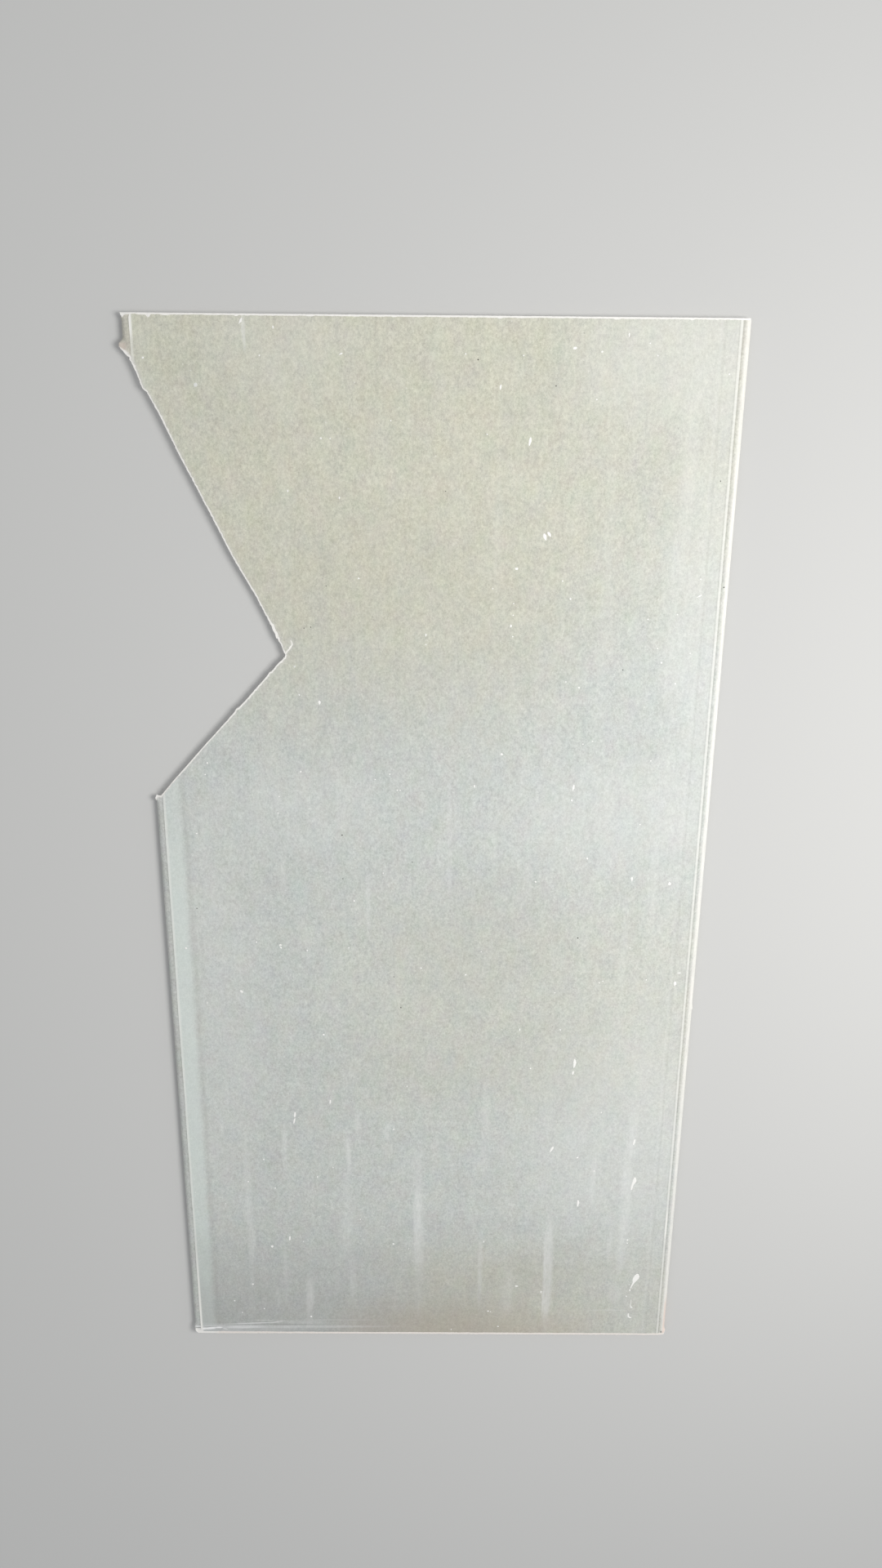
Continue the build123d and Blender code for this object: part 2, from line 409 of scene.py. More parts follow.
# How much plaster the trimmed papers leave bare at the upper and the lower end, and the chips out of
# the upper one: where, half as wide as, and how much deeper.
bare_widths = {1: 1.75, -1: 2.55}
least_bare = 0.7
chips = [(-287.5, 3.5, -0.5), (-279.4, 3.4, 0.5), (-273.5, 2.0, 2.6), (-257.3, 3.6, 0.5), (-190, 2.0, 0.9),
         (-120, 3.0, 0.6), (-40, 2.4, 0.5), (60, 2.0, 0.7), (171, 3.0, 0.6), (243, 2.0, 0.5)]


def bare_end(x, side):
    """How much plaster is bare at places across the upper end, where side is 1, or the lower, -1."""
    line = np.column_stack([x, np.full(len(x), side * half_length)])
    bare = bare_widths[side] + 0.2 * lumps(line, 14, 31 + side) + 0.2 * lumps(line, 2.2, 34 + side)
    if side > 0:
        bare += sum(depth * np.exp(-np.abs((x - at) / half) ** 3) for at, half, depth in chips)
    return np.maximum(bare, least_bare)


def inside(points, outline):
    """Which points lie inside a closed outline."""
    x, y = points[:, 0], points[:, 1]
    found = np.zeros(len(points), bool)
    for (ax, ay), (bx, by) in zip(outline, np.roll(outline, -1, axis=0)):
        if ay != by:
            found ^= ((ay > y) != (by > y)) & (x < (bx - ax) * (y - ay) / (by - ay) + ax)
    return found


def nearest(points, others):
    """For each point, the number of the nearest of the others and how far off it is."""
    tree = kdtree.KDTree(len(others))
    for number, other in enumerate(others):
        tree.insert((other[0], other[1], 0), number)
    tree.balance()
    found = [tree.find((point[0], point[1], 0)) for point in points]
    return np.array([f[1] for f in found]), np.array([f[2] for f in found])


def filled(outline, inner, clearance):
    """Triangles over a closed outline and through the inner points, given from fine to coarse."""
    outline = np.asarray(outline, float)
    kept = []
    for points, gap in inner:
        points = points[inside(points, outline)]
        points = points[nearest(points, outline)[1] > min(gap, clearance)]
        if kept and len(points):
            points = points[nearest(points, np.vstack(kept))[1] > gap]
        kept.append(points)
    every = np.vstack([outline, *kept])
    count = len(outline)
    rim = [(n, (n + 1) % count) for n in range(count)]
    places, _, faces, origins, _, _ = geometry.delaunay_2d_cdt([Vector(p) for p in every], rim, [], 1, 1e-5)
    new_number = np.zeros(len(every), int)
    for number, olds in enumerate(origins):
        for old in olds:
            new_number[old] = number
    return np.array([(p.x, p.y) for p in places]), faces, new_number[:count]


def grid(across, along):
    """Points at every place across and along."""
    return np.array([(u, v) for u in across for v in along])


def both_sides(places):
    """Places on the right half of the sheet, with the same ones on its left half."""
    return [side * place for side in (-1, 1) for place in places]


def make_piece(name, points, faces, finish, slot, replaced=None, amounts=None, sharp=38):
    """One piece from points in mm, welded, riding on the sheet, with amounts stored at its points."""
    mesh = bpy.data.meshes.new(name)
    mesh.from_pydata([tuple(p) for p in np.asarray(points) * 0.001], [], [tuple(f) for f in faces])
    for key, values in (amounts or {}).items():
        mesh.attributes.new(key, "FLOAT", "POINT").data.foreach_set("value", np.asarray(values, np.float32))
    work = bmesh.new()
    work.from_mesh(mesh)
    bmesh.ops.remove_doubles(work, verts=work.verts, dist=2e-6)
    bmesh.ops.dissolve_degenerate(work, edges=work.edges, dist=1e-6)
    bmesh.ops.recalc_face_normals(work, faces=work.faces)
    work.to_mesh(mesh)
    work.free()
    mesh.shade_smooth()
    mesh.set_sharp_from_angle(angle=math.radians(sharp))
    mesh.materials.append(finish)
    piece = bpy.data.objects.new(name, mesh)
    bpy.context.collection.objects.link(piece)
    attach(piece, "root")
    if replaced:
        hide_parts(replaced)


def plaster_finish(name, tint, bubble_share):
    """Dry gypsum plaster: chalky off-white, cloudy, with open bubbles and crumbly grains."""
    plaster = Finish(bpy.data.materials.new(name), "Material")
    place, x, y, _ = plaster.places()
    cloud = plaster.grain(place, 5.0, detail=4.0)
    crumb = plaster.grain(place, 0.7, detail=5.0, seed=3.0)
    cells = {"Vector": place, "Scale": 1.1, "Randomness": 1.0}
    bubble = plaster.rise(plaster.node("TexVoronoi", {}, cells), 0.30, 0.12) * bubble_share
    # The open bubbles are darkened in the colour as painted shade, and sunk in the relief.
    colour = plaster.toned(tint, 1 + 0.035 * cloud + 0.035 * crumb - 0.30 * bubble)
    # A painted pink reflection on the bare plaster along the lower end, right of the broken corner.
    pink_reflection = plaster.rise(y, -592.0, -597.0) * plaster.rise(x + 3 * cloud, -276.0, -266.0)
    colour = plaster.mix(pink_reflection * (0.2 + 0.1 * cloud), colour, seen(216, 184, 164))
    height = 0.5 * crumb + 0.3 * cloud - 1.0 * bubble
    return plaster.surface(colour, 0.93 + 0.03 * cloud, 0.25, height, 0.55, 0.22)


core_plaster = plaster_finish("core_plaster", seen(252, 250, 246), 0.25)


# Rows along the long edges, close together where the edge is torn or crushed.
row_spans = [(-599, -570, 1), (-570, -140, 6), (-139, -125, 1), (-124, 96, 6), (96, 136, 1), (136, 540, 6),
             (540, 599.5, 1)]
edge_rows = np.concatenate([np.arange(low, high, step) for low, high, step in row_spans])
# The lower left corner is broken off along these points, a little beyond the sheet's own corner.
corner_break = [(-core_half, -595.4), (-298.9, -596.9), (-297.5, -599.0), (-295.8, -600.9)]


def core_outline():
    """The slab's outline seen from above, counterclockwise, with how wide its rim is and of what kind."""
    turns = np.linspace(0, math.pi / 2, 8)
    round_part = flat_half + core_radius * np.sin(turns)
    middle = np.arange(-flat_half + 1, flat_half - 0.4, 0.9)
    across = np.concatenate([-round_part[::-1], middle, round_part])
    lower_end = np.column_stack([across, np.full(len(across), -half_length)])
    lower_end = lower_end[lower_end[:, 0] > corner_break[-1][0] + 0.1]
    lower_end[:, 1] -= np.interp(lower_end[:, 0], [-273, -200, 300], [0.9, 0.5, 0.3])
    lower_end[:, 1] += np.maximum(0.14 * lumps(lower_end, 1.8, 5), 0)
    upper_end = np.column_stack([across[::-1], np.full(len(across), half_length)])
    upper_end[:, 1] -= np.maximum(0.14 * lumps(upper_end, 1.8, 6), 0)
    break_off = steps_along(np.array(corner_break), 0.5)
    ear = cut.copy()
    ear[:, 0] = np.maximum(ear[:, 0], -core_half)
    first, last = beyond(ear[:, 0], -core_half + 1e-6)
    ear, ear_rim = ear[first - 1:last + 2], cut_rim[first - 1:last + 2]
    right = np.column_stack([np.full(len(edge_rows), core_half), edge_rows])
    left = (right * (-1, 1))[::-1]
    upper_left = left[left[:, 1] > ear[0, 1] + 0.4]
    lower_left = left[(left[:, 1] < ear[-1, 1] - 0.4) & (left[:, 1] > break_off[0, 1] + 0.4)]
    runs = [(lower_end, 2.6, "lower end"), (right, 0, "covered"), (upper_end, 1.9, "upper end"),
            (upper_left, 0, "covered"), (ear, ear_rim, "snapped"), (lower_left, 0, "covered"),
            (break_off, 3.2, "corner")]
    line = np.vstack([run for run, _, _ in runs])
    widths = np.concatenate([np.broadcast_to(rim, len(run)) for run, rim, _ in runs])
    kinds = np.concatenate([np.full(len(run), rim_kinds.index(kind)) for run, _, kind in runs])
    keep = np.linalg.norm(line - np.roll(line, 1, axis=0), axis=1) > 0.02
    return line[keep], widths[keep], kinds[keep]


core_line, core_rim, core_kind = core_outline()
core_side = side_of(np.vstack([core_line[-3:], core_line, core_line[:3]]))[3:-3]


def core_heights(places, broken_kind, broken_rim, from_rim):
    """The height of the slab's upper side: flat, rounded along the edges, sloping off at the rims."""
    out = np.abs(places[:, 0])
    rounding = edge_radius + np.sqrt(np.maximum(core_radius ** 2 - np.maximum(out - flat_half, 0) ** 2, 0))
    top = np.where(out > flat_half, rounding, np.where(out < fold_end, slab_top, slab_top - paper))
    foot = np.choose(broken_kind, [height for height, _ in rims.values()])
    rough = 0.13 * lumps(places, 2.2, 7) + 0.10 * lumps(places, 0.8, 8)
    share = np.clip(from_rim / np.maximum(broken_rim, 0.3), 0, 1)
    slope = foot + (slab_top - foot) * share ** 0.75 + rough * (1 - share) + rough * 0.4
    change = np.minimum(pressed(*places.T), 0) - 0.03
    return worn(places[:, 0], places[:, 1], np.minimum(top, slope), change)


def core_floor(places):
    """The height of the slab's underside: flat, and rounded up along the edges."""
    out = np.maximum(np.abs(places[:, 0]) - flat_half, 0)
    return edge_radius - np.sqrt(np.maximum(core_radius ** 2 - out ** 2, 0))


broken = core_kind != rim_kinds.index("covered")
rows_in = np.vstack([core_line[broken] + core_side[broken] * (core_rim[broken] * step)[:, None]
                     for step in (0.25, 0.5, 0.75, 1.0, 1.35)])
arc_columns = flat_half + core_radius * np.sin(np.linspace(0, math.pi / 2, 7)[:-1])
arc_grid = grid(both_sides(arc_columns), edge_rows)
coarse_grid = grid(np.arange(-290, 291, 20), np.arange(-590, 591, 20))
top_places, top_faces, top_rim_numbers = filled(
    core_line, [(rows_in, 0.16), (arc_grid, 0.5), (coarse_grid, 6.0)], 0.2)
spur_top = 127
at_spur = (core_kind == rim_kinds.index("snapped")) & (core_line[:, 1] < spur_top)
undercut = np.where(at_spur, from_table(spur_undercut, core_line[:, 0]), 0)
low_line = core_line + core_side * undercut[:, None]
low_places, low_faces, low_rim_numbers = filled(low_line, [(arc_grid, 0.5), (coarse_grid, 6.0)], 0.5)
closest, from_rim = nearest(top_places, core_line[broken])
top_heights = core_heights(top_places, core_kind[broken][closest], core_rim[broken][closest], from_rim)
low_heights = core_floor(low_places)
edge_rim = np.abs(core_line[:, 0]) > core_half - 1e-6
top_heights[top_rim_numbers[edge_rim]] = edge_radius
low_heights[low_rim_numbers[edge_rim]] = edge_radius
at_edge = np.abs(top_places[:, 0]) > core_half - 0.02
top_heights = np.maximum(top_heights, np.where(at_edge, 0, edge_radius + 0.1))
top_heights[top_rim_numbers] = np.maximum(top_heights[top_rim_numbers], low_heights[low_rim_numbers])

core_points = [np.column_stack([top_places, top_heights]), np.column_stack([low_places, low_heights])]
core_faces = [tuple(f) for f in top_faces]
core_faces += [tuple(n + len(top_places) for n in f[::-1]) for f in low_faces]
# The broken and sawn walls, in rows from the underside up, pitted inwards at the snapped cut.
wall_rows = 8
wall_start = len(top_places) + len(low_places)
foot_height, head_height = low_heights[low_rim_numbers], top_heights[top_rim_numbers]
pit_depth = np.choose(core_kind, [depth for _, depth in rims.values()])
pit_depth = pit_depth * np.clip((head_height - foot_height) / 5, 0, 1)
for row in range(wall_rows + 1):
    share = row / wall_rows
    height = foot_height + (head_height - foot_height) * share
    spot = np.column_stack([core_line, height])
    pits = np.clip(0.55 + 0.6 * lumps(spot, 2.4, 11) + 0.35 * lumps(spot, 0.9, 12), 0, 2) * pit_depth
    pits = pits * (math.sin(math.pi * share) ** 0.6 if 0 < row < wall_rows else 0)
    wall = core_line + core_side * (pits + undercut * (1 - share))[:, None]
    core_points.append(np.column_stack([wall, height]))
columns = len(core_line)
for here in np.nonzero(broken | np.roll(broken, -1))[0]:
    there = (here + 1) % columns
    for row in range(wall_rows):
        base = wall_start + row * columns
        core_faces.append((base + here, base + there, base + columns + there, base + columns + here))
core_points = np.vstack(core_points)
core_points[:, 0] = push_out(core_points[:, 0], core_points[:, 1])
make_piece("plaster_core", core_points, core_faces, core_plaster, "gypsum", "gypsum_core")


# The face paper: one strip of smooth recycled board paper that lies under the core, goes round both
# long edges and folds onto the back, where the edge is pressed a little hollow beside the lap.
# It is torn away at the corners and pushed out with the plaster where the cuts leave the edge.
arc_length = math.pi * edge_radius
strip_half = flat_half + arc_length + (flat_half - fold_end)


def bend_strip(u, v, depth):
    """Where a point of the flat strip lies once it is wrapped; u runs across from the strip's middle."""
    out = np.abs(u)
    turn = np.clip((out - flat_half) / edge_radius, 0, math.pi)
    back_in = np.maximum(out - flat_half - arc_length, 0)
    radius = edge_radius - depth
    x = np.sign(u) * (np.minimum(out, flat_half) + radius * np.sin(turn) - back_in)
    z = edge_radius - radius * np.cos(turn)
    z = worn(x, v, z, pressed(x, v))
    wave = 0.03 * lumps(np.column_stack([x / 6, v / 18]), 1.0, 21)
    wave += 0.03 * lumps(np.column_stack([x / 2, v / 3]), 1.0, 22)
    x = x - np.sign(u) * np.sin(turn) * np.clip(wave + 0.02, 0, 0.09)
    return np.column_stack([push_out(x, v), v, z])


def onto_strip(line, over):
    """A run of plan points on the left side, laid onto the flat strip: over is the back's layer."""
    x, y = line.T
    turn = np.arcsin(np.clip((-flat_half - x) / edge_radius, 0, 1))
    if over:
        bent, level = -flat_half - edge_radius * (math.pi - turn), -flat_half - arc_length - (x + flat_half)
    else:
        bent, level = -flat_half - edge_radius * turn, x
    return np.column_stack([np.where(x < -flat_half, bent, level), y])


# How much more plaster is bare where the paper is torn at the corners, by place across the strip, at
# the upper and the lower end.
torn_corners = {
    1: [(-314, 0), (-311, 1.9), (-308.6, 3.0), (-307.4, 4.6), (-306, 4.0), (-304.6, 3.8), (-302.6, 3.9),
        (-300.5, 3.6), (-298.5, 2.0), (-296, 0), (297, 0), (299, 1.2), (301, 1.8), (304, 1.8), (305.5, 0)],
    -1: [(-318, 0), (-315.3, 2.9), (-312.2, 3.6), (-310.2, 4.0), (-308.2, 6.0), (-305.7, 7.8), (-303.6, 7.6),
         (-302.3, 6.6), (-300, 4.8), (-297.6, 1.6), (-296, 0), (297, 0), (299.5, 1.4), (302.6, 5.4),
         (304.4, 6.6), (305.6, 5.8), (306.8, 3.4), (308, 0), (314, 0)],
}


def end_reach(u, side):
    """How far the wrapped paper reaches towards an end; on the back it stops short of the bare plaster."""
    x, _, z = bend_strip(u, u * 0, 0).T
    bare = bare_end(x, side) * np.clip((z - 4.7) / 1.2, 0, 1) + 0.1
    return side * (half_length - np.maximum(bare, from_table(torn_corners[side], u)))


across_strip = np.unique(np.concatenate([
    np.arange(-strip_half, -flat_half, 0.8), np.arange(-flat_half, flat_half, 2.5),
    np.arange(flat_half, strip_half, 0.8), [strip_half]]))
lower_line = np.column_stack([across_strip, end_reach(across_strip, -1)])
upper_line = np.column_stack([across_strip, end_reach(across_strip, 1)])[::-1]
inset = cut + cut_side * (np.clip((cut[:, 0] + half_width) / 2.5, 0, 1) * cut_rim)[:, None]
spur_paper = steps_along(np.array([(-293.2, 118.7), (-295.6, 118.3), (-297.4, 118.5), (-298.9, 116.7),
                                   (-300.3, 114.7), (-301.5, 113.9)]), 0.5)
spur_paper[:, 0] = pull_in(*spur_paper.T)
on_spur = (inset[:, 0] < -292.6) & (inset[:, 1] < 200)
inset = np.vstack([inset[~on_spur], spur_paper])
inset[:, 0] = np.maximum(inset[:, 0], -half_width)
fold_first, fold_last = beyond(inset[:, 0], -fold_end)
ear_over = onto_strip(inset[:fold_first + 1], True)[::-1]
spur_over = onto_strip(inset[fold_last:], True)[::-1]
ear_over[0, 0] = spur_over[-1, 0] = -strip_half
paper_undercut = np.where(cut[:, 1] < spur_top, from_table(spur_undercut, cut[:, 0]) + 0.1, 0)
under_line = onto_strip(cut + cut_side * paper_undercut[:, None], False)


def free_edge(start, end, u, count=9):
    """The strip's own edge on the back, from one height on the sheet to another."""
    return np.column_stack([np.full(count, u), np.linspace(start, end, count)])[1:-1]


strip_line = np.vstack([
    lower_line, free_edge(lower_line[-1, 1], upper_line[0, 1], strip_half), upper_line,
    free_edge(upper_line[-1, 1], ear_over[0, 1], -strip_half), ear_over, under_line[1:-1], spur_over,
    free_edge(spur_over[-1, 1], lower_line[0, 1], -strip_half)])
strip_line = strip_line[np.linalg.norm(strip_line - np.roll(strip_line, 1, axis=0), axis=1) > 0.05]

round_columns = flat_half + np.linspace(0, arc_length, 15)
lap_columns = flat_half + arc_length + np.array([0.8, 1.6, 2.4, 3.0, 3.6, 4.2, 5.0])
wrap_grid = grid(both_sides([*round_columns, *lap_columns]), edge_rows)
under_grid = grid(np.arange(-280, 281, 20), np.arange(-590, 591, 20))
fold_grid = grid(both_sides([strip_half - 11]), np.arange(-590, 591, 20))
strip_places, strip_faces, strip_rim_numbers = filled(
    strip_line, [(wrap_grid, 0.55), (under_grid, 6.0), (fold_grid, 5.0)], 0.35)


def two_sided(upper, lower, faces, rim_numbers):
    """A thin closed sheet from its two sides and one rim, listed counterclockwise from above."""
    count = len(upper)
    both = [tuple(f) for f in faces] + [tuple(n + count for n in f[::-1]) for f in faces]
    for here, there in zip(rim_numbers, np.roll(rim_numbers, -1)):
        both.append((there, here, here + count, there + count))
    return np.vstack([upper, lower]), both


def flecks(board, place, scale, channel, thinned, start, end):
    """Round flecks, one to a cell of a random pattern, smaller in some cells and left out in others."""
    cell = {"Vector": place, "Scale": scale, "Randomness": 1.0}
    pick = board.node("SeparateColor", {}, {0: board.node("TexVoronoi", {}, cell, out=1)}, out=channel)
    return board.rise(board.node("TexVoronoi", {}, cell) + (1 - pick) * thinned, start, end)


def paper_finish(name, cool_pulp, warm_pulp, marks):
    """Grey recycled board paper: short fibres laid lengthwise, cloudy pulp, pale and dark flecks."""
    board = Finish(bpy.data.materials.new(name), "Material")
    where = board.places()
    place, x, y, _ = where
    fibre = board.grain(place, 0.8, (1, 1.5, 1), 1.0, 1.0)
    mottle = board.grain(place, 1.9, (1, 1.3, 1), 2.0, 2.0)
    blotch = board.grain(place, 4.6, (1, 1.4, 1), 1.0, 3.0)
    cloud = board.grain(place, 15.0, (1, 2.2, 1), 2.0, 4.0)
    drift = board.grain(place, 75.0, (1, 1.6, 1), 1.0, 5.0)
    # The board yellowed at its upper end and, less, in the middle and at the foot.
    drifting_x = x + 20 * drift
    upper_tone = board.rise(y - 110 * board.rise(x, 60.0, 280.0) + 25 * drift, 130.0, 360.0)
    upper_tone = upper_tone * (1 - 0.40 * board.rise(drifting_x, 20.0, 290.0))
    middle_tone = board.rise(abs(y + 135 + 20 * drift), 190.0, 60.0)
    middle_tone = middle_tone * board.rise(x + 15 * drift, -190.0, -20.0)
    foot_tone = board.rise(y + 12 * cloud, -430.0, -520.0) * board.rise(drifting_x, -100.0, 20.0)
    foot_tone = foot_tone * (1 - 0.45 * board.rise(drifting_x, 90.0, 230.0))
    warmth = upper_tone * 0.92 + 0.34 * middle_tone + foot_tone * 0.62
    warmth = warmth + 0.04 * drift + 0.05 * cloud + 0.04 * blotch
    colour = board.mix(warmth, cool_pulp, warm_pulp)
    tone = 1 + 0.145 * fibre + 0.20 * mottle + 0.105 * blotch + 0.06 * cloud + 0.015 * drift
    colour = board.toned(colour, tone)
    hue_scale = {0: place, 1: (0.06, 0.04, 0.06), 2: (7.0, 3.0, 1.0)}
    hue_place = board.node("VectorMath", {"operation": "MULTIPLY_ADD"}, hue_scale)
    hues = board.node("TexNoise", {}, {"Vector": hue_place, "Scale": 1.0, "Detail": 3.0}, out=1)
    colour = board.mix(0.07, colour, hues, "OVERLAY")
    pale_fleck = flecks(board, place, 0.14, 0, 0.30, 0.15, 0.06)
    dark_fleck = flecks(board, place, 0.07, 1, 0.16, 0.065, 0.03)
    colour = board.mix(0.42 * pale_fleck, colour, seen(240, 240, 236))
    colour = board.mix(0.42 * dark_fleck, colour, seen(110, 108, 104))
    height = 0.6 * fibre + 0.6 * mottle + 0.3 * blotch
    colour, height, rough = marks(board, where, colour, height, 0.90 + 0.03 * mottle)
    return board.surface(colour, rough, 0.3, height, 0.35, 0.10)


def crease_marks(board, x, y, colour, rubbed, shown, on_back=1.0):
    """Painted highlights on the ridges and painted shade in the grooves where the foot of the board was
    creased.
    """
    bent = board.node("CombineXYZ", {}, {0: x, 1: y + 0.3 * rubbed})
    uneven = (1 + 0.35 * rubbed) * on_back
    for x0, x1, y0, y1, width, _, pale in shown:
        lean = math.atan2(y1 - y0, x1 - x0)
        line = board.soft_patch(bent, (x0 + x1) / 2, (y0 + y1) / 2, (x1 - x0) / 2, width * 0.9, lean)
        # Ridges get a painted highlight, and grooves get painted shade.
        tint = seen(252, 252, 252) if pale > 0 else seen(100, 99, 98)
        colour = board.mix(line * uneven * abs(pale), colour, tint)
    return colour


def wrap_marks(board, where, colour, height, rough):
    """Painted highlight and rubbed wear on the right round edge, painted shade in the lap's hollow and a
    small hole, a painted pink reflection low on the right, dust at the cuts.
    """
    place, x, y, z = where
    from_edge = half_width - abs(x)
    on_back = board.rise(z, 6.0, 8.0)
    at_left = board.rise(x, 0.1, -0.1)
    breakup = board.grain(place, 7.0, (1, 5.0, 1), 4.0, 11.0)
    scuff = board.grain(place, 2.0, (1, 9.0, 1), 3.0, 12.0)
    fold = board.grain(place, 3.0, (6.0, 1, 1), 4.0, 25.0)
    # Painted shade in the hollow beside the lap.
    from_hollow = abs(from_edge - hollow_place + left_shift * at_left + 0.3 * breakup)
    hollow = board.rise(from_hollow, 1.1, 0.2) * on_back
    # Pale along the round edge, kept to the right side below: rubbed wear together with a painted highlight
    # where the light falls on that edge.
    rubbed = board.rise(from_edge + 0.4 * breakup, 6.8, 3.2) * board.rise(z, 3.0, 5.0)
    lug = board.rise(abs(y - 563.0), 13.0, 8.0) * board.rise(x, -294.0, -299.0)
    crushed = board.rise(y, -587.0, -594.0) * board.rise(x, 294.0, 299.0) * board.rise(scuff, -0.5, 0.4)
    # A painted pink reflection on the lower part of the right round edge.
    pink_reflection = board.rise(y + 14 * breakup, -530.0, -560.0) * board.rise(from_edge, 3.8, 2.6)
    # The small hole at the lower right is darkened as painted shade.
    aside = x - hole_place[0]
    above = y - hole_place[1] + 0.4 * aside
    hole = board.rise((abs(aside) ** 2 + 0.6 * abs(above) ** 2) ** 0.5 + 0.15 * scuff, 2.1, 0.1)
    foot = board.rise(y + 0.3 * fold, -592.3, -593.4) * board.rise(x, 0.0, -1.0) * on_back
    colour = board.coats(
        colour,
        (hollow * (0.24 - 0.12 * at_left), seen(140, 140, 132)),
        (rubbed * (0.62 + 0.25 * scuff) * board.rise(x, -100.0, 100.0), seen(250, 248, 243)),
        (lug * 0.7, seen(214, 200, 190)),
        (crushed * 0.8, seen(244, 238, 231)),
        (pink_reflection * board.rise(x, 0.0, 1.0) * 0.6, seen(238, 214, 202)),
        (hole * on_back * 0.8, seen(86, 86, 84)),
        (foot * (0.75 + 0.3 * scuff), seen(252, 250, 248)))
    at_corner = [row for row in creases if row[0] <= -half_width]
    colour = crease_marks(board, x, y, colour, fold, at_corner, on_back)
    dust = board.stored("near_cut") + 0.25 * board.grain(place, 1.4, detail=4.0, seed=13.0)
    return board.mix(board.rise(dust, 0.35, 1.0) * 0.75, colour, seen(243, 240, 234)), height, rough


face_board = paper_finish("face_board_paper", seen(202, 205, 201), seen(206, 203, 190), wrap_marks)
outer_side = bend_strip(*strip_places.T, 0.0)
inner_side = bend_strip(*strip_places.T, paper - 0.02)
wrap_points, wrap_faces = two_sided(inner_side, outer_side, strip_faces, strip_rim_numbers)
strip_from_cut = nearest(strip_places, np.vstack([ear_over, under_line, spur_over]))[1]
near_cut = np.tile(np.clip(1 - strip_from_cut / 2.2, 0, 1), 2)
make_piece("face_paper_wrap", wrap_points, wrap_faces, face_board, "face_paper", "face_paper",
           {"near_cut": near_cut}, 50)


# The back paper: a flat strip of greyer board paper, glued over the two folds of the face paper, so
# that its pale trimmed edges show as a line along each side. It is creased at the lower left corner,
# chipped at the sawn ends, slit past the tip of the cut and streaked with plaster.
lap_inset = 8.0
left_lap = lap_inset - half_width
right_lap = -left_lap - left_shift
sheet_top = slab_top + paper
back_top = sheet_top - 0.05
highest = sheet_top + 0.06


def back_height(x, y):
    """The height of the back paper's upper side; the ends of the folds below it show as faint steps."""
    places = np.column_stack([x, y])
    from_lap = np.minimum(np.abs(x - left_lap), np.abs(x - right_lap))
    over_fold = 0.05 * np.clip((np.abs(x) - fold_end + 2) / 4, 0, 1)
    waves = 0.025 * lumps(places, 34, 43) + 0.03 * lumps(places / (1, 9), 11, 44)
    height = back_top - 0.05 + over_fold + waves + pressed(x, y) - 0.05 * np.clip(1 - from_lap / 1.5, 0, 1)
    return np.minimum(height, highest)


# The knife ran on past the tip: the slit's bends, and how wide it gapes at each.
slit_run = np.array([(-154.2, 275.4), (-152.0, 278.3), (-150.1, 280.3), (-149.2, 281.8), (-147.8, 283.6),
                     (-146.9, 285.2), (-147.4, 287.2), (-148.4, 289.3)])
slit_gape = np.array([0.9, 0.7, 0.8, 1.5, 0.8, 0.7, 0.5, 0.25])


def end_run(x, side):
    """The trimmed edge of the back paper at an end."""
    return np.column_stack([x, side * (half_length - bare_end(x, side))])


lower_trim = end_run(np.arange(-287.2, right_lap, 0.9), -1)
torn_trim = np.array([(left_lap, -595.9), (-290.6, -596.6), (-289.6, -596.8), (-288.4, -597.3)])
upper_trim = end_run(np.arange(left_lap + 0.9, right_lap, 0.9), 1)[::-1]
paper_cut = cut + cut_side * (cut_rim + 0.08 * lumps(cut, 1.2, 35))[:, None]
first_in, last_in = beyond(paper_cut[:, 0], left_lap)
half_gape = side_of(slit_run) * slit_gape[:, None] / 2
slit_lips = steps_along(np.vstack([slit_run + half_gape, (slit_run - half_gape)[::-1]]), 0.6)
clear_of_slit = nearest(paper_cut, slit_lips)[1] > 0.8
before = [n for n in range(first_in, tip + 1) if clear_of_slit[n]]
after = [n for n in range(tip + 1, last_in + 1) if clear_of_slit[n]]


def lap_run(x, start, end, seed):
    """One trimmed long edge of the back paper, a little wavy, from one height to another."""
    count = int(abs(end - start) / 2.5)
    line = np.column_stack([np.full(count, x), np.linspace(start, end, count)])[1:-1]
    line[:, 0] += 0.16 * lumps(line, 60, seed) + 0.07 * lumps(line, 3, seed + 1)
    return line


back_line = np.vstack([
    torn_trim, lower_trim, lap_run(right_lap, lower_trim[-1, 1], upper_trim[0, 1], 36), upper_trim,
    lap_run(left_lap, upper_trim[-1, 1], paper_cut[before[0], 1], 38), paper_cut[before], slit_lips,
    paper_cut[after], lap_run(left_lap, paper_cut[after[-1], 1], torn_trim[0, 1], 40)])
rim_rows = np.vstack([paper_cut + cut_side * step for step in (0.7, 1.6, 3.0)])
slit_grid = grid(np.arange(-159, -141, 0.8), np.arange(270, 295, 0.8))
crease_grid = grid(np.arange(-291, -60, 1.6), np.arange(-598, -577, 0.55))
lap_grid = grid(both_sides((291.1, 290.3, 289.6, 287.5, 276, 272)), np.arange(-597, 598, 4.0))
field_grid = grid(np.arange(-284, 285, 7), np.arange(-594, 595, 7))
inner_grids = [(crease_grid, 0.4), (slit_grid, 0.5), (rim_rows, 0.45), (lap_grid, 0.7), (field_grid, 3.0)]
back_places, back_faces, back_rim_numbers = filled(back_line, inner_grids, 0.3)
from_back_cut = nearest(back_places, np.vstack([paper_cut[before], slit_lips, paper_cut[after]]))[1]
frayed = np.clip(1 - from_back_cut / 1.4, 0, 1)
back_heights = back_height(*back_places.T) - frayed ** 2 * (0.17 + 0.06 * lumps(back_places, 1.8, 42))
from_trim = nearest(back_places, np.vstack([lower_trim, upper_trim]))[1]
back_heights -= 0.17 * np.clip(1 - from_trim / 0.7, 0, 1)

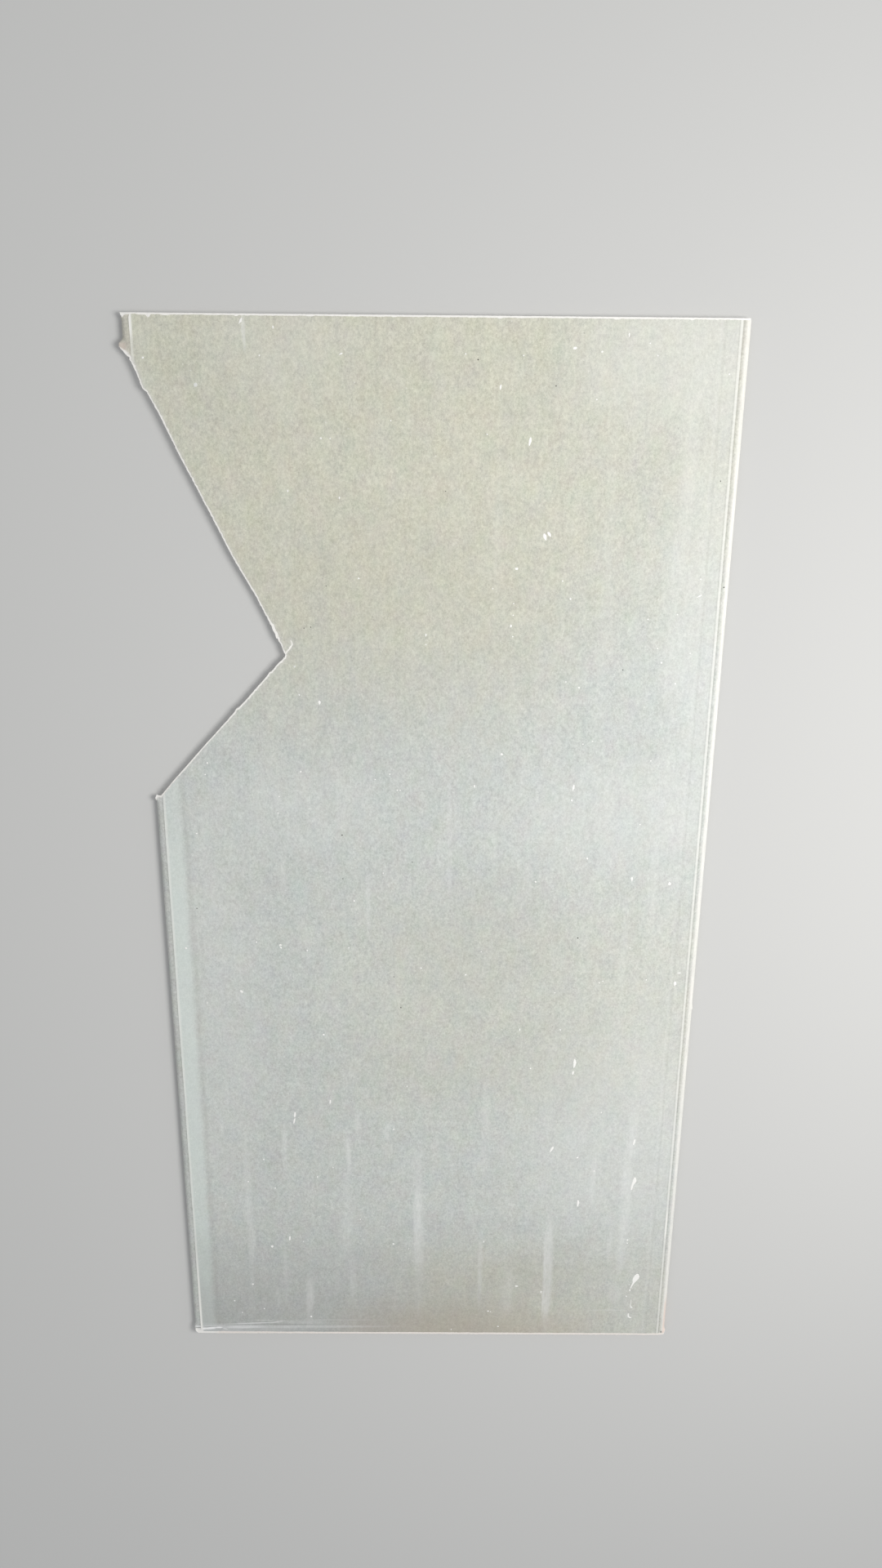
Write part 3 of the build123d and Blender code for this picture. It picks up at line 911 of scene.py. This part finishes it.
# Chalky streaks left by a trowel: x, from y, to y, half width, how strong.
streaks = [
    (-15, -560, -345, 7.0, 0.20), (-17, -480, -385, 5.5, 0.18), (147, -578, -434, 6.5, 0.42),
    (142.5, -560, -450, 1.6, 0.20), (-152, -582, -514, 5.5, 0.40), (-100, -360, -304, 3.4, 0.22),
    (-102, -492, -368, 8.5, 0.16), (-97, -545, -490, 4.5, 0.14), (-176, -352, -295, 3.6, 0.20),
    (18, 8, 125, 3.6, 0.13), (-72, -42, 28, 2.8, 0.15), (-140, -82, -38, 3.0, 0.10),
    (175, 140, 490, 7.0, 0.07), (63, 350, 452, 5.0, 0.08), (238, -490, -285, 6.5, 0.20),
    (243, -345, -270, 5.0, 0.12), (62, -552, -446, 3.6, 0.20), (-181, -542, -468, 3.2, 0.16),
    (-192, -558, -530, 2.8, 0.18), (-182, -556, -540, 2.0, 0.12), (-222, -505, -336, 5.5, 0.16),
    (-224, -562, -508, 4.5, 0.14), (-118, -545, -498, 4.0, 0.11), (97, -575, -498, 8.5, 0.13),
    (65, -375, -200, 5.5, 0.08), (-88, -302, -272, 3.2, 0.16), (-52, -314, -286, 4.2, 0.14),
    (222, -482, -438, 3.2, 0.12), (216, -120, 2, 4.0, 0.09), (244, -40, 82, 5.0, 0.09),
    (244, 250, 402, 6.0, 0.07), (232, -548, -520, 8.0, 0.12), (251, 392, 520, 9.0, 0.08),
    (-150, 300, 500, 6.0, 0.05), (-166, 10, 50, 2.6, 0.12), (-244, -10, 22, 2.6, 0.11),
    (-252, 60, 100, 2.6, 0.10), (105, 0, 45, 5.0, 0.11), (197, -402, -330, 3.8, 0.18),
    (-184, 568, 600, 2.2, 0.24), (187, 100, 140, 4.0, 0.07),
]
# Where the back is painted paler, or darker where the last number is minus: x, y, half its breadth, half its
# length, how strong. The long one along the left side is painted light that lifts the side the lamp lights
# less.
paler_and_darker_areas = [
    (-145, 105, 90, 50, 0.11), (210, 100, 120, 55, 0.17), (225, -300, 110, 140, 0.19),
    (240, 565, 100, 60, 0.22), (-262, -150, 60, 250, 0.15), (285, 320, 42, 170, 0.17),
    (-150, 570, 60, 45, 0.12), (-60, 290, 200, 120, -0.09), (60, -50, 95, 80, -0.10),
    (20, -200, 100, 60, -0.06), (150, -500, 60, 40, -0.12), (150, -205, 60, 70, -0.07),
]


def back_marks(board, where, colour, height, rough):
    """What the back shows: plaster streaks, areas painted paler or darker, a darker foot with a painted brown
    reflection, creases with painted highlights and shade, pale laps and dusty cuts.
    """
    place, x, y, _ = where
    chalk = seen(238, 239, 237)
    smear = board.grain(place, 2.4, (1, 4.0, 1), 4.0, 21.0)
    patch = board.grain(place, 16.0, (1, 3.0, 1), 3.0, 22.0)
    wander = board.grain(place, 60.0, detail=1.0, seed=23.0)
    rubbed_foot = board.grain(place, 3.0, (8.0, 1, 1), 4.0, 25.0)
    bent = board.node("CombineXYZ", {}, {0: x + 2.2 * wander + 0.9 * smear, 1: y + 9 * patch})
    streaky = 0.0
    for at, low, high, half, strength in streaks:
        streak = board.soft_patch(bent, at, (low + high) / 2, half * 0.85, (high - low) / 2)
        streaky = streak * strength + streaky
    streaky = streaky * (1.35 + 0.8 * smear + 0.6 * patch)
    scratch = board.soft_patch(place, 226, -561, 24, 0.9) * 0.3
    colour = board.mix(streaky + scratch, colour, chalk)
    wide = board.node("CombineXYZ", {}, {0: x + 14 * wander + 5 * patch, 1: y + 18 * wander + 8 * patch})
    # Areas painted paler or darker; the long one on the left is painted light.
    for at_x, at_y, breadth, length, strength in paler_and_darker_areas:
        share = board.soft_patch(wide, at_x, at_y, breadth, length) * abs(strength)
        colour = board.mix(share, colour, chalk if strength > 0 else seen(150, 148, 141))

    # Paler towards the right side.
    paler_right = board.rise(x + 8 * patch, 225.0, 250.0) * 0.07 + board.rise(x, 100.0, 220.0) * 0.03
    left_band = board.rise(x, -296.0, -291.0) * board.rise(x + 1.5 * wander, -268.0, -279.0)
    faded = 0.35 * board.rise(y + 20 * patch, 20.0, 90.0) + 0.5 * board.rise(y, 400.0, 500.0)
    left_shadow = board.rise(abs(x + 269.5 + 1.5 * wander), 5.5, 0.0) * board.rise(y, 560.0, 100.0)
    right_step = board.rise(abs(x - 275.3 + 0.5 * wander), 1.8, 0.2)
    beside_step = board.rise(abs(x - 271.5), 2.0, 0.4)
    # Darker towards the foot, most on the left and in the middle.
    darker_foot = board.rise(y + 30 * patch, -380.0, -600.0)
    # A painted brown reflection along the foot, about the middle of the sheet.
    brown_reflection = board.rise(y + 8 * patch, -530.0, -592.0)
    brown_reflection = brown_reflection * board.rise(abs(x - 45 + 14 * patch), 190.0, 120.0)
    pale_foot = board.rise(y + 1.6 * rubbed_foot, -582.0, -590.0) * board.rise(x, -95.0, -290.0)
    colour = board.coats(
        colour,
        (paler_right, chalk),
        (left_band * (1 - faded) * (0.50 + 0.06 * patch), seen(225, 235, 230)),
        (left_shadow * 0.14, seen(150, 149, 142)),
        (right_step * 0.10, seen(150, 150, 144)),
        (beside_step * 0.10, chalk),
        (darker_foot * (0.13 + 0.26 * board.rise(x + 30 * patch, 190.0, 30.0)), seen(150, 148, 146)),
        (brown_reflection * 0.24, seen(186, 164, 140)),
        (pale_foot * (0.34 + 0.22 * rubbed_foot), seen(226, 227, 230)))
    colour = crease_marks(board, x, y, colour, rubbed_foot, creases)

    at_left, at_right = board.rise(x, 0.0, -1.0), board.rise(x, 0.0, 1.0)
    lap = board.rise(x, left_lap + 3.4, left_lap + 1.4) + board.rise(x, right_lap - 2.6, right_lap - 1.6)
    left_bright = 0.20 + 0.60 * board.rise(y, 572.0, 586.0) + 0.60 * board.rise(y, -430.0, -585.0)
    right_bright = 0.25 + 0.40 * board.rise(abs(y + 431.0), 22.0, 14.0)
    bright = 0.22 + 0.16 * patch + at_left * left_bright + at_right * right_bright
    beside_lap = board.rise(abs(x - 288.2), 0.9, 0.2)
    dust = board.stored("near_cut") + 0.22 * board.grain(place, 1.3, detail=4.0, seed=24.0)
    haze = board.stored("near_cut_haze") + 0.3 * patch
    colour = board.coats(
        colour,
        (lap * bright, seen(250, 249, 244)),
        (beside_lap * 0.16, seen(150, 149, 142)),
        (board.rise(dust, 0.45, 1.05) * 0.8, seen(246, 243, 237)),
        (board.rise(haze, 0.5, 1.3) * 0.26, seen(232, 232, 232)))
    return colour, height + 0.4 * streaky * smear, rough + 0.05 * streaky


back_board = paper_finish("back_board_paper", seen(202, 206, 202), seen(207, 206, 190), back_marks)
upper_side = np.column_stack([back_places, back_heights])
lower_side = upper_side - (0, 0, paper - 0.05)
back_points, back_all_faces = two_sided(upper_side, lower_side, back_faces, back_rim_numbers)
hazy = np.clip(1 - from_back_cut / 9, 0, 1)
back_amounts = {"near_cut": np.tile(frayed, 2), "near_cut_haze": np.tile(hazy, 2)}
make_piece("back_paper_sheet", back_points, back_all_faces, back_board, "back_paper", "back_paper",
           back_amounts, 50)


# Plaster splashed on the back: drops and runs that were wet when they landed, so that they spread thin
# at their rims, stayed thick in the middle and dried white and hard on the paper.
usual_body = 0.8
# Each drop has x, y and width, then its length if it isn't round, and for the unusual ones how far the
# top leans to the right in degrees and how thick it is.
splashes = [
    (244, -454, 2, 3, 0, 1), (244, -458.5, 1.8, 2.6, 0, 1), (176.5, -334.5, 2.5), (115.5, -212.5, 2),
    (202, -271.5, 1.5), (108.5, -524.5, 4, 2.5, 0, 0.7), (139.5, -533.5, 2, 4), (73.5, -563.5, 3, 2),
    (76.5, -564.5, 1.5, 1.5, 0, 0.6), (86.5, -587.5, 2.5, 1.5), (66, -457.5, 1.5, 3),
    (197.5, -353.5, 3, 3, 0, 0.5), (27, -592.5, 1.5), (-196.5, -466.5, 3, 4), (-189.5, -380.5, 2),
    (-202, -339.5, 2), (-118.5, -350.5, 1.5), (-222, -371.5, 2), (-137.5, -364.5, 1.5, 4, 0, 0.7),
    (-46, -461.5, 2.5), (-27, -468.5, 1.5), (-45, -296.5, 2), (-29, -237.5, 1.5),
    (-128.5, -403.5, 1.5, 1.5, 0, 0.6), (-86.5, -425.5, 1.5), (-157.5, -458.5, 1.5), (-247, -549.5, 2),
    (-238, -567.5, 1.5), (-210, -561.5, 2), (-151, -573.5, 2.5, 2.5, 0, 1), (-223, -523.5, 3, 2),
    (-251, -403.5, 1.5), (-287, -387.5, 1), (-242, 157, 2), (-245, 144, 1.5), (-258, 77, 2.5, 1.5),
    (-171.5, -56, 3, 2.6, 0, 1), (-171, -59, 2.8, 2.4, 0, 1), (-198.5, -52.5, 2), (-141.5, -62.5, 2),
    (-278, -60.5, 2.5), (-218, -114.5, 2.5, 4, -55, 1), (-125.5, -169.5, 2.5, 2.5, 0, 1),
    (-258, -129.5, 2, 4, 0, 0.4), (-13, -83.5, 2), (-94.5, -58.5, 1.5), (-142.5, 148, 2), (-63, 140, 1.5),
    (-47, 146, 1.5), (-39, 128, 1.5), (-36, 128, 1.5, 1.5, 0, 0.6), (-166.5, 120, 1.5), (-168.5, 101, 1.5),
    (-87.5, -1.5, 2), (-55, 32, 1.5), (150.5, 132, 2.5, 7, 8, 1), (149.5, 118, 2, 2.5),
    (72.5, 169, 2.5, 3, 0, 1), (44, 133, 1.5, 4, 0, 0.7), (220, 27, 2.5, 6, 0, 1),
    (262, 22, 3.5, 3.5, 0, 0.9), (113.5, 23, 2), (277, -101.5, 3, 6, 0, 1), (169.5, 51, 2), (232, 163, 1.5),
    (225, 91, 1.5), (38, -91.5, 2), (55, -62.5, 1.5, 1.5, 0, 0.6), (168.5, 184, 1.5, 1.5, 0, 0.6),
    (158.5, 181, 1.5), (140.5, -113.5, 1.5), (223, -56.5, 1.5, 1.5, 0, 0.6),
    (101.5, -161.5, 1.5, 4, 0, 0.7), (148.5, -161.5, 1.5, 3, 0, 0.7), (190.5, -100.5, 1.5),
    (194.5, -98.5, 1.5), (244, -96.5, 1.5), (281, -87.5, 4, 2, 0, 0.5), (-232, 536, 4, 4, 0, 0.35),
    (-281, 560, 2, 2, 0, 1), (-146.5, 438, 1.5, 3), (-95.5, 432, 1.5, 3), (-145.5, 262, 2, 2.8, 55, 0.35),
    (-141.5, 232, 1.5, 2, 0, 0.6), (-120.5, 224, 2.5, 4, 0, 0.9), (-112.5, 488, 2),
    (-103.5, 488, 1.5, 1.5, 0, 0.6), (-44, 505, 1.5), (-77.5, 353, 2), (-9, 296, 1.5, 3),
    (-9, 286, 1.5, 1.5, 0, 0.6), (-155.5, 588, 1.5, 3), (-169.5, 563, 1.5), (-186.5, 593, 2, 6, 30, 1),
    (-91.5, 565, 1.5, 4, 70, 0.8), (82.5, 364, 3.5, 2.5, 20, 1), (62, 536, 2, 6, 5, 1),
    (132.5, 572, 4, 2.5, 0, 0.9), (158.5, 569, 2), (204, 577, 1.5), (212, 566, 1.5, 1.5, 0, 0.6),
    (28, 566, 1.5), (83.5, 565, 1.5, 1.5, 0, 0.6), (50, 493, 1.5), (155.5, 526, 1.5), (138.5, 334, 2),
    (78.5, 306, 2, 3, 0, 1), (80.5, 317, 1.5), (80.5, 329, 1.5), (80.5, 295, 1.5),
    (59, 344, 1.5, 1.5, 0, 0.6), (129.5, 352, 1.5), (151.5, 242, 2), (137.5, 248, 1.5, 1.5, 0, 0.6),
    (252, 247, 2), (231, 284, 1.5), (265, 279, 1.5), (270, 355, 1.5), (249, 319, 1.5, 1.5, 0, 0.6),
    (219, 314, 1.5), (270, 338, 1.5, 6, 64, 0.8), (282, 550, 1.5), (183.5, 584, 1.5, 4), (236, 269, 2),
    (251.5, -530, 2, 3.2, 0, 1), (247.5, -539.5, 2.2, 3, 0, 0.5), (250.5, -521, 2, 1.6, 0, 0.35),
]
# The larger ones ran before they dried: x, y and width at points from the top down, then how thick it is.
runs = [
    ([(259.6, -505.4, 3), (259.2, -508, 6.6), (257.6, -512, 7.4), (256.2, -515, 5.6), (255.4, -518.5, 2.6),
      (253.6, -522.5, 1.9), (252.3, -526.5, 1.2)], 1),
    ([(251.6, -566.4, 1.4), (251.8, -569, 2), (252, -571.2, 2.2), (253.4, -572.2, 2.2), (255.4, -572.8, 1.6)],
     0.9),
    ([(254, -545, 0.8), (254, -551, 1), (253.6, -554.5, 1.6), (254.8, -556.6, 3), (256.4, -557.2, 1.4)],
     0.45),
    ([(247.4, -363, 2.6), (247.6, -366, 4.4), (247, -369, 4.2), (245.7, -371.5, 3), (244.8, -375, 2.4),
      (244.3, -379.5, 2)], 1),
    ([(244.2, -309, 1.8), (243.7, -312, 2.6), (243, -315.5, 1.8)], 0.8),
    ([(179.9, -396.2, 2), (180.2, -399, 3.2), (179.8, -402, 2.4), (179.9, -404.2, 2)], 1),
    ([(146.3, -319.7, 2), (145.2, -322.5, 2.8), (143.5, -326, 1.8)], 0.9),
    ([(167, -200.4, 2), (167.4, -204, 3.4), (167, -208, 2.6), (166.5, -210.7, 1.2)], 1),
    ([(166, -216, 1.4), (165.7, -218, 2.2), (165.6, -220, 1.6)], 0.7),
    ([(-162, -274, 1.8), (-162.3, -277, 2.4), (-162.7, -279.8, 1.8)], 1),
    ([(-162.6, -282.6, 1.6), (-163.2, -285, 2), (-163.8, -288.5, 1.4)], 0.8),
    ([(-119.7, -257, 1.6), (-119.9, -259, 1.9), (-120.1, -261.2, 1.6)], 1),
    ([(-174, -451.4, 2), (-174.3, -454, 2.4), (-174.4, -456.4, 2)], 1),
    ([(92.6, 490, 1.8), (92.3, 487.5, 2.8), (91.6, 483.6, 1.6)], 1),
    ([(109.3, 398.3, 2.4), (110, 396, 3.6), (111, 393.2, 1.8)], 1),
    ([(113, 400, 2), (114.6, 398.2, 3.2), (115.6, 396.4, 1.6)], 1),
]


# The rims of drops and runs are sunk into the paper by this much.
sunk = 0.03


def drop(x, y, width, length, lean, body, seed):
    """One dried drop as points and faces: a low dome with an uneven rim, drawn out downwards if long."""
    around = 12 if width * length < 6 else 22
    turns = np.arange(around) / around * 2 * math.pi
    reach = 1 / np.hypot(np.cos(turns) / (width / 2), np.sin(turns) / (length / 2))
    uneven = lumps(np.column_stack([np.cos(turns), np.sin(turns)]) * 1.3 + seed, 1.0, 51)
    reach = reach * (1 + 0.28 * uneven)
    narrow = 1 - 0.45 * np.clip(-np.sin(turns), 0, 1) * (length > width * 1.6)
    thick = (0.035 + 0.075 * body) * min(1.0, width / 3.5 + 0.35)
    rim = np.column_stack([reach * np.cos(turns) * narrow, reach * np.sin(turns)])
    flat = np.vstack([[(0, 0)], *(rim * share for share in (0.5, 0.82, 1.0))])
    cosine, sine = math.cos(math.radians(-lean)), math.sin(math.radians(-lean))
    turned = flat @ np.array([(cosine, sine), (-sine, cosine)]) + (x, y)
    rise = np.concatenate([[thick], np.repeat([thick * 0.95, thick * 0.7, -sunk], around)])
    height = back_height(*turned.T) + rise * (1 + 0.15 * lumps(turned, 0.8, 52))
    here = np.arange(around)
    there = (here + 1) % around
    faces = [(0, 1 + a, 1 + b) for a, b in zip(here, there)]
    for ring in (1, 1 + around):
        faces += [(ring + a, ring + around + a, ring + around + b, ring + b) for a, b in zip(here, there)]
    return np.column_stack([turned, height]), faces


def run_down(points, body, seed):
    """One dried run as points and faces: a low ridge along the given points, as wide as they say."""
    points = np.array(points, float)
    ends = points[[0, -1]] + (points[[0, -1]] - points[[1, -2]]) * (0.3, 0.3, 0)
    ends[:, 2] = 0.3
    way = np.vstack([ends[:1], points, ends[1:]])
    gone = np.concatenate([[0], np.cumsum(np.linalg.norm(np.diff(way[:, :2], axis=0), axis=1))])
    steps = np.linspace(0, gone[-1], max(8, int(gone[-1] / 0.5)))
    x, y, width = (np.interp(steps, gone, way[:, n]) for n in range(3))
    centre = np.column_stack([smoothed(x, 2), smoothed(y, 2)])
    side = side_of(centre)
    section = [(-1, -sunk), (-0.75, 0.65), (-0.35, 1.0), (0.35, 1.0), (0.75, 0.65), (1, -sunk)]
    thick = (0.04 + 0.09 * body) * np.clip(width / 3, 0.3, 1)
    rows = []
    for share, up in section:
        uneven = 1 + 0.2 * lumps(centre + share * 3, 1.2, seed)
        flat = centre + side * (share * width * uneven / 2)[:, None]
        height = back_height(*flat.T) + (thick * up if up > 0 else up)
        rows.append(np.column_stack([flat, height]))
    count = len(centre)
    faces = [(r * count + k, r * count + k + 1, (r + 1) * count + k + 1, (r + 1) * count + k)
             for r in range(len(section) - 1) for k in range(count - 1)]
    return np.vstack(rows), faces


def splash_finish():
    """Dried plaster, whiter and smoother where it is thick, greyer where only a film is left."""
    splash = Finish(bpy.data.materials.new("splashed_plaster"), "Material")
    grains = splash.grain(splash.places()[0], 0.5, detail=4.0, seed=31.0)
    film = splash.rise(splash.stored("body") + 0.12 * grains, 0.05, 0.75)
    colour = splash.mix(film, seen(214, 216, 211), seen(253, 252, 249))
    return splash.surface(colour, 0.8 - 0.1 * film, 0.35, grains, 0.3, 0.1)


def joined(parts):
    """One list of points and one of faces from many."""
    points, faces, start = [], [], 0
    for part_points, part_faces in parts:
        points.append(part_points)
        faces += [tuple(n + start for n in face) for face in part_faces]
        start += len(part_points)
    return np.vstack(points), faces


def in_full(x, y, width, length=None, lean=0, body=usual_body):
    """A drop's row with the usual length, lean and thickness filled in."""
    return x, y, width, length or width, lean, body


splashes = [in_full(*row) for row in splashes]
drops = [drop(*row, seed) for seed, row in enumerate(splashes)]
thinness = [np.linspace(1, 0.7, len(points)) * row[-1] for (points, _), row in zip(drops, splashes)]
ridges = [run_down(points, body, 400 + seed) for seed, (points, body) in enumerate(runs)]
thinness += [np.full(len(points), body) for (points, _), (_, body) in zip(ridges, runs)]
make_piece("plaster_splashes", *joined(drops + ridges), splash_finish(), "gypsum",
           amounts={"body": np.concatenate(thinness)})


# Dark specks on the back: shreds of printed waste paper and grit that came with the pulp and were
# pressed flat into it when the paper was made. Each has x, y, width and length.
specks = [
    (-99.6, 76.2, 2, 1.5), (-35.9, -133.7, 1.8, 1.8), (-127.5, 303.1, 1.4, 1.2), (-134.5, 302.1, 1.2, 1.2),
    (-110.6, 345.1, 1.2, 1.2), (-263, -11.7, 1.4, 1.2), (-22.9, 45.2, 1.2, 1.4), (-43.8, -94.7, 1.2, 1.2),
    (-99.6, 25.2, 1.3, 1.2), (163.4, -44.7, 2, 1.6), (39.9, 561, 2, 1.4), (10, 439, 1.3, 1.2),
    (115.6, 538, 1.3, 1.2), (282, 451, 1.4, 1.2), (196.3, 261.1, 1.3, 1.3), (294.4, 347.1, 1.4, 1.2),
]


def speck_finish():
    """Charcoal grey, uneven and matt."""
    grit = Finish(bpy.data.materials.new("dark_pulp"), "Material")
    uneven = grit.grain(grit.places()[0], 0.4, detail=3.0, seed=41.0)
    colour = grit.mix(grit.rise(uneven, -0.8, 0.9), seen(52, 51, 50), seen(120, 118, 114))
    return grit.end_with(grit.node("BsdfPrincipled", {}, {"Base Color": colour, "Roughness": 0.9}))


shreds = [drop(*row, 20 * n, 0.0, 300 + n) for n, row in enumerate(specks)]
make_piece("dark_specks", *joined(shreds), speck_finish(), "back_paper")


# Crumbs of plaster: when the board was snapped, its core shed them along the break. Most cling to the
# broken rim, and one in four lies on the paper near it.
crumb_count = 150
smallest, largest = 0.12, 0.34
loose_share, loose_spread = 0.25, 1.6
clear_of_ends = 8
crumb_dice = np.random.default_rng(7)
golden = (1 + 5 ** 0.5) / 2
# A ball of twelve points and twenty triangles; its edges are 2 long, and it is 3.8 across.
ball_radius = 1.9
ball = np.array([(a, b * golden, 0) for a in (-1, 1) for b in (-1, 1)])
ball = np.vstack([ball, np.roll(ball, 1, axis=1), np.roll(ball, 2, axis=1)])
ball_faces = []
for a, b, c in itertools.combinations(range(len(ball)), 3):
    if max(np.linalg.norm(ball[p] - ball[q]) for p, q in ((a, b), (b, c), (a, c))) < 2.01:
        outwards = np.dot(np.cross(ball[b] - ball[a], ball[c] - ball[a]), ball[a]) > 0
        ball_faces.append((a, b, c) if outwards else (a, c, b))


def crumb(x, y, z, size, dice):
    """A small rough lump, about twice size across."""
    corners = ball / ball_radius * dice.uniform(0.7, 1.25, (len(ball), 1))
    return corners * (1, dice.uniform(0.6, 1.4), 0.75) * size + (x, y, z), ball_faces


crumbs = []
for _ in range(crumb_count):
    at = crumb_dice.integers(clear_of_ends, len(cut) - clear_of_ends)
    inwards = crumb_dice.uniform(0.15, 1.0) * cut_rim[at]
    size = crumb_dice.uniform(smallest, largest)
    if crumb_dice.random() < loose_share:
        inwards, size = cut_rim[at] + crumb_dice.exponential(loose_spread), size * 0.7
    x, y = cut[at] + cut_side[at] * inwards
    x = max(x, -half_width + 2)
    rest = back_height(np.array([x]), np.array([y]))[0] if inwards > cut_rim[at] else slab_top - 0.05
    crumbs.append(crumb(x, y, rest + size * 0.3, size, crumb_dice))
crumb_plaster = plaster_finish("crumb_plaster", seen(250, 247, 241), 0.2)
make_piece("plaster_crumbs", *joined(crumbs), crumb_plaster, "gypsum")

bpy.context.view_layer.update()
